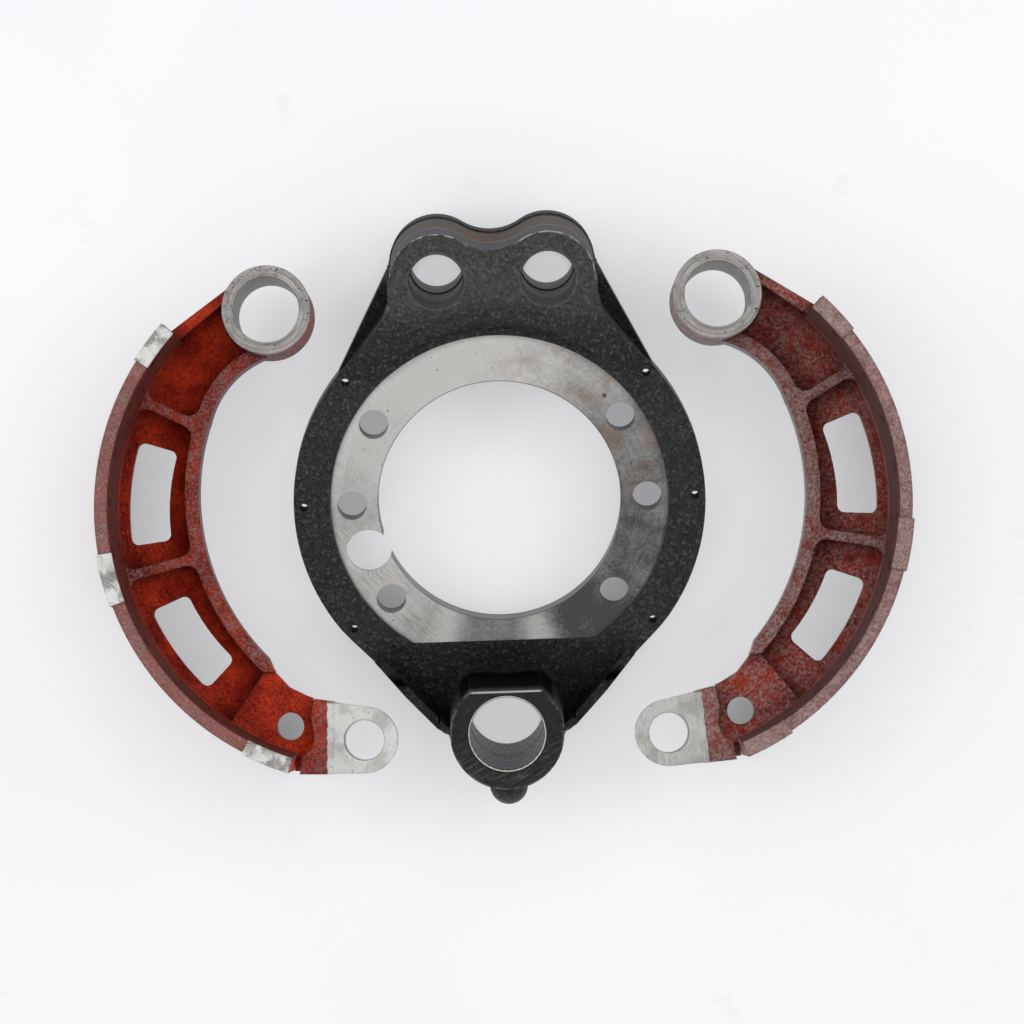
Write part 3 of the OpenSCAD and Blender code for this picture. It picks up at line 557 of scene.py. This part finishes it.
    # bare metal
    turned = t.noise(t.vector(t.scaled(eye, 1.4), t.scaled(roller, 0.05), 0.0), 1.0, 4, 0.6)
    milled = t.noise(t.vector(t.scaled(u, 1.6), t.scaled(v, 0.05), t.scaled(w, 0.05)), 1.0, 4, 0.65)
    pitted = t.both(t.step(t.noise(mm, 0.6, 2, 0.5), 0.6, 0.66),
                    t.step(t.noise(mm, 0.11, 2, 0.5), 0.42, 0.54))
    steel = t.mix(t.step(t.blend(end, turned, milled), 0.3, 0.7), srgb(126, 122, 119),
                  srgb(206, 202, 198))
    polish = t.either(end, t.both(pad, t.step(patchy, 0.42, 0.56)))
    steel = t.coat(steel, polish, 0.5 if side else 0.85, srgb(250, 250, 246))
    steel = t.coat(steel, t.step(t.noise(mm, 0.06, 4, 0.6), 0.42, 0.66), 0.4, srgb(134, 126, 120))
    steel = t.coat(steel, pitted, t.blend(t.either(end, pad), 0.85, 0.35), srgb(58, 48, 44))
    steel = t.coat(steel, t.either(eye_wall, hole), 0.65, srgb(80, 80, 78))
    machined = t.either(eye_face, eye_wall, end, pad if not side else t.scaled(pad, 0.2))
    if side:
        red = t.coat(red, pad, 0.8,
                     t.mix(t.step(speck, 0.4, 0.6), srgb(104, 54, 46), srgb(150, 118, 110)))
    color = t.mix(machined, red, steel)
    metal = t.blend(machined, 0.0, 0.4)
    rough = t.blend(wall, t.sum(0.22 if side else 0.34, t.scaled(blotch, 0.24)), 0.8)
    rough = t.blend(machined, rough, 0.4)
    flat = t.scaled(t.either(turned, milled), 0.05)
    relief = t.blend(machined, height, flat)
    principled(mat, t, color, metal, rough, bump(t, relief, 1.0, 0.0014 if side else 0.0011, 0.003),
               0.5 if side else 0.3)
    return mat


def bush_material():
    mat, t = material("bush_dimpled_steel")
    mm = t.millimetres()
    u, v, w = use(t, SPIDER_AT, mm)[:3]
    cam = t.near(u, v, 0.0, CAM_V)
    around = t.math("ARCTAN2", t.math("SUBTRACT", v, CAM_V), u)
    row = t.math("DIVIDE", w, DIMPLE_ROW)
    half = t.scaled(t.math("MODULO", t.math("FLOOR", row), 2.0), 0.5)
    column = t.math("ADD", t.scaled(around, DIMPLES_ROUND / (2 * math.pi)), half)
    cu = t.math("SUBTRACT", t.math("FRACT", column), 0.5)
    cw = t.math("SUBTRACT", t.math("FRACT", row), 0.5)
    dent = t.math("SQRT", t.sum(t.scaled(t.scaled(cu, cu), 1.2), t.scaled(cw, cw)))
    inside = t.step(cam, BUSH_BORE + 0.5, BUSH_BORE + 0.2)
    pocket = t.both(t.step(dent, 0.36, 0.26), inside)
    rings = t.step(t.noise(t.vector(0.0, 0.0, t.scaled(w, 0.9)), 1.0, 2, 0.5), 0.42, 0.6)
    steel = t.mix(rings, srgb(24, 25, 29), srgb(58, 60, 68))
    steel = t.coat(steel, pocket, 0.9, srgb(4, 4, 5))
    face = t.step(cam, BUSH_BORE + 0.9, BUSH_BORE + 1.3)
    line = t.both(t.step(cam, BUSH_BORE + 0.1, BUSH_BORE + 0.3), t.no(face))
    steel = t.mix(face, steel, srgb(44, 43, 42))
    steel = t.mix(line, steel, srgb(226, 220, 208))
    principled(mat, t, steel, 0.4, 0.38, bump(t, t.scaled(pocket, -0.5), 1.0, 0.001))
    return mat


def dress(node, mat):
    obj = NODES[node]
    obj.data.materials.clear()
    obj.data.materials.append(mat)


black_paint = spider_material()
dress("spider", black_paint)
bush = bush_material()
dress("cam_bush_front", bush)
dress("cam_bush_rear", bush)
dress("shoe_left", shoe_material("left", LEFT, 0))
dress("shoe_right", shoe_material("right", RIGHT, 1))


def pick(piece, test):
    """Selects the corners of the piece, in edit mode, that pass the test."""
    bpy.ops.mesh.select_all(action="DESELECT")
    bpy.ops.object.mode_set(mode="OBJECT")
    for corner in piece.data.vertices:
        corner.select = test(corner.co)
    bpy.ops.object.mode_set(mode="EDIT")


def rib_foot(side):
    """Low end of a side rib: it runs on along the edge of the web, drops, and dies in the cam barrel."""
    tip = math.hypot(TIP_U, TIP_V)
    tangent = math.acos(FLANGE_R / tip) - math.atan2(-TIP_V, TIP_U)
    start_u, start_v = FLANGE_R * math.cos(tangent), FLANGE_R * math.sin(tangent)
    slope = math.atan2(TIP_V - start_v, TIP_U - start_u)
    overlap, reach, slack = 2.0, 12.0, 0.1
    end_v = start_v + (RIB_END_U + overlap - start_u) * math.tan(slope)
    height, low = RIB_RISE + WEB_DROP, -WEB_DROP - 1.0
    bpy.ops.object.select_all(action="DESELECT")
    bpy.ops.mesh.primitive_cube_add(size=0.001, location=(0, 0, 0))
    foot = bpy.context.object
    foot.name = "rib_foot_right" if side > 0 else "rib_foot_left"
    bpy.ops.object.mode_set(mode="EDIT")
    bpy.ops.mesh.select_mode(type="VERT")
    bpy.ops.transform.translate(value=(0.0005, 0, 0.0005))
    first_length = -overlap / math.cos(slope)
    bpy.ops.transform.resize(value=(first_length, RIB_WIDTH - 2 * slack, height + 1.0 - slack),
                             center_override=(0, 0, 0))
    bpy.ops.transform.translate(value=(0, 0, low * 0.001))
    for drop in (0.28, 0.62):
        far = max(corner.co.x for corner in foot_corners(foot))
        pick(foot, lambda co: co.x > far - 1e-5)
        bpy.ops.mesh.extrude_region_move(TRANSFORM_OT_translate={"value": (reach * 0.0005, 0, 0)})
        far += reach * 0.0005
        top = max(corner.co.z for corner in foot_corners(foot) if corner.co.x > far - 1e-5)
        pick(foot, lambda co: co.x > far - 1e-5 and co.z > top - 1e-5)
        bpy.ops.transform.translate(value=(0, 0, -drop * height * 0.001))
    bpy.ops.object.mode_set(mode="OBJECT")
    bevel = foot.modifiers.new("soft_edges", "BEVEL")
    bevel.width = 0.0009
    bevel.segments = 3
    bpy.ops.object.modifier_apply(modifier=bevel.name)
    bpy.ops.object.shade_smooth_by_angle(angle=math.radians(30))
    inset = 0.5 * RIB_WIDTH
    across = RIB_END_U + overlap + inset * math.sin(slope)
    up = end_v - inset * math.cos(slope)
    turn = slope if side > 0 else math.pi - slope
    stand = Matrix.Translation(Vector((SHIFT_X, SHIFT_Y, RISE)) * 0.001) @ Matrix.Rotation(LEAN, 4, "X")
    foot.matrix_world = (stand @ Matrix.Translation(Vector((side * across, up, 0.0)) * 0.001)
                         @ Matrix.Rotation(turn, 4, "Z"))
    bpy.ops.object.transform_apply(location=True, rotation=True, scale=True)
    foot.data.materials.append(black_paint)
    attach(foot, "root")


def foot_corners(foot):
    """Corners of a piece in edit mode, read after the mesh is brought up to date."""
    foot.update_from_editmode()
    return foot.data.vertices


rib_foot(1)
rib_foot(-1)


def table_material():
    """White sheet that stays near white for the camera, with painted shade near and under the castings
    and painted light below the bores.
    """
    mat, t = material("white_table")
    mm = t.millimetres()
    smudge = t.both(t.step(t.noise(mm, 0.03, 3, 0.7), 0.6, 0.7),
                    t.step(t.noise(mm, 0.008, 2, 0.5), 0.5, 0.62))
    shade = t.mix(t.noise(mm, 0.003, 2, 0.5), (0.87, 0.875, 0.90, 1.0), (0.95, 0.95, 0.97, 1.0))
    shade = t.coat(shade, smudge, 0.12, (0.62, 0.62, 0.64, 1.0))
    sheet = t.add("ShaderNodeBsdfDiffuse")
    t.put(sheet.inputs["Color"], shade)
    near = t.add("ShaderNodeAmbientOcclusion", samples=2)
    near.inputs["Distance"].default_value = 0.1
    x, y = t.split(mm)[:2]
    # painted light: the sheet is brighter below the barrel's bore and the pin bores
    through = t.step(t.near(x, y, SHIFT_X, SHIFT_Y + CAM_V), HOUSING_R + 8.0, HOUSING_R - 8.0)
    for way in (-1, 1):
        ear = t.near(x, y, SHIFT_X + way * ANCHOR_U, SHIFT_Y + ANCHOR_V + 2.0)
        through = t.either(through, t.step(ear, ANCHOR_R + 8.0, ANCHOR_R - 6.0))
    # painted shade: the sheet dims near the castings, from an ambient occlusion node
    lit = t.blend(t.step(near.outputs["AO"], 0.24, 0.62), 0.22, 1.05)
    # painted shade: the sheet is darker under the flange, except below the notch
    under_flange = t.band(t.near(x, y, SHIFT_X, SHIFT_Y), BORE_R + 4.0, LEDGE_R, 2.0)
    notch = t.near(x, y, SHIFT_X + NOTCH_PITCH * math.cos(NOTCH_ANGLE),
                   SHIFT_Y + NOTCH_PITCH * math.sin(NOTCH_ANGLE))
    lit = t.scaled(lit, t.blend(t.both(under_flange, t.step(notch, 18.0, 24.0)), 1.0, 0.5))
    # painted shade: the sheet is darker below each shoe's spring hole
    for cx, cy, turn, side in (LEFT, RIGHT):
        hole_x = cx + side * (SPRING_U * math.cos(turn) - SPRING_V * math.sin(turn))
        hole_y = cy + SPRING_U * math.sin(turn) + SPRING_V * math.cos(turn)
        spring_hole = t.step(t.near(x, y, PARALLAX * hole_x, PARALLAX * hole_y), 17.0, 13.0)
        lit = t.scaled(lit, t.blend(spring_hole, 1.0, 0.45))
    # painted light: the sheet shows bright through the small screw holes near the flange's edge, as a
    # ring
    screws = t.band(t.near(x, y, SHIFT_X, SHIFT_Y), FLANGE_R - 12.0, FLANGE_R - 1.0, 1.0)
    through = t.either(through, screws)
    glow = t.add("ShaderNodeEmission")
    t.put(glow.inputs["Color"], shade)
    t.put(glow.inputs["Strength"], t.either(lit, t.scaled(through, 0.72)))
    paths = t.add("ShaderNodeLightPath")
    kinds = ("Is Camera Ray", "Is Glossy Ray", "Is Transmission Ray")
    seen = t.either(*(paths.outputs[kind] for kind in kinds))
    both = t.add("ShaderNodeMixShader")
    t.put(both.inputs[0], t.scaled(seen, 0.8))
    t.put(both.inputs[1], sheet.outputs[0])
    t.put(both.inputs[2], glow.outputs[0])
    out = t.add("ShaderNodeOutputMaterial")
    t.put(out.inputs["Surface"], both.outputs[0])
    return mat


bpy.ops.mesh.primitive_plane_add(size=6.0, location=(0, 0, 0))
table = bpy.context.object
table.name = "white_table"
table.data.materials.append(table_material())


def softbox(name, place, size, power, aim=(0, 0, 0.03), tint=(1, 1, 1)):
    bpy.ops.object.light_add(type="AREA", location=place)
    lamp = bpy.context.object
    lamp.name = name
    lamp.data.shape = "RECTANGLE"
    lamp.data.size, lamp.data.size_y = size
    lamp.data.energy = power
    lamp.data.color = tint
    lamp.rotation_euler = (Vector(aim) - Vector(place)).to_track_quat("-Z", "Y").to_euler()
    return lamp


softbox("left_softbox", (-1.5, 0.25, 1.25), (1.0, 1.4), 13)
softbox("right_softbox", (1.5, 0.35, 1.25), (1.0, 1.4), 12)
# soft overhead fill, kept out of the reflections as the dark ceiling of a studio is
softbox("top_softbox", (0.0, 0.5, 2.6), (2.0, 2.0), 16).visible_glossy = False

world = bpy.data.worlds.new("studio")
bpy.context.scene.world = world
world.use_nodes = True
t = Tree(world.node_tree)
height = t.split(t.add("ShaderNodeTexCoord").outputs["Generated"])[2]
background = t.add("ShaderNodeBackground")
t.put(background.inputs["Color"], (0.97, 0.98, 1.0, 1.0))
t.put(background.inputs["Strength"], t.blend(t.step(height, 0.45, 0.95), 0.9, 0.08))
out = t.add("ShaderNodeOutputWorld")
t.put(out.inputs["Surface"], background.outputs[0])

# camera, nearly overhead, turned to the photo
ROLL = math.radians(1.9)
PITCH = math.radians(1.6)
CAMERA_DISTANCE = 4.08
SENSOR_WIDTH, PHOTO_WIDTH, FOCAL_PIXELS = 36.0, 1024.0, 6000.0
up = Vector((math.sin(ROLL), math.cos(ROLL), 0.0))
target = Vector((0.0053, -0.0045, 0.057))
away = math.cos(PITCH) * Vector((0, 0, 1)) - math.sin(PITCH) * up
eye_point = target + CAMERA_DISTANCE * away
right = up.cross(away).normalized()
top = away.cross(right).normalized()
rotation = Matrix((right, top, away)).transposed()
bpy.ops.object.camera_add(location=eye_point)
camera = bpy.context.object
camera.rotation_euler = rotation.to_euler()
camera.data.sensor_width = SENSOR_WIDTH
camera.data.lens = SENSOR_WIDTH * FOCAL_PIXELS / PHOTO_WIDTH
camera.data.clip_end = 20.0
bpy.context.scene.camera = camera

bpy.context.scene.view_settings.view_transform = "Standard"
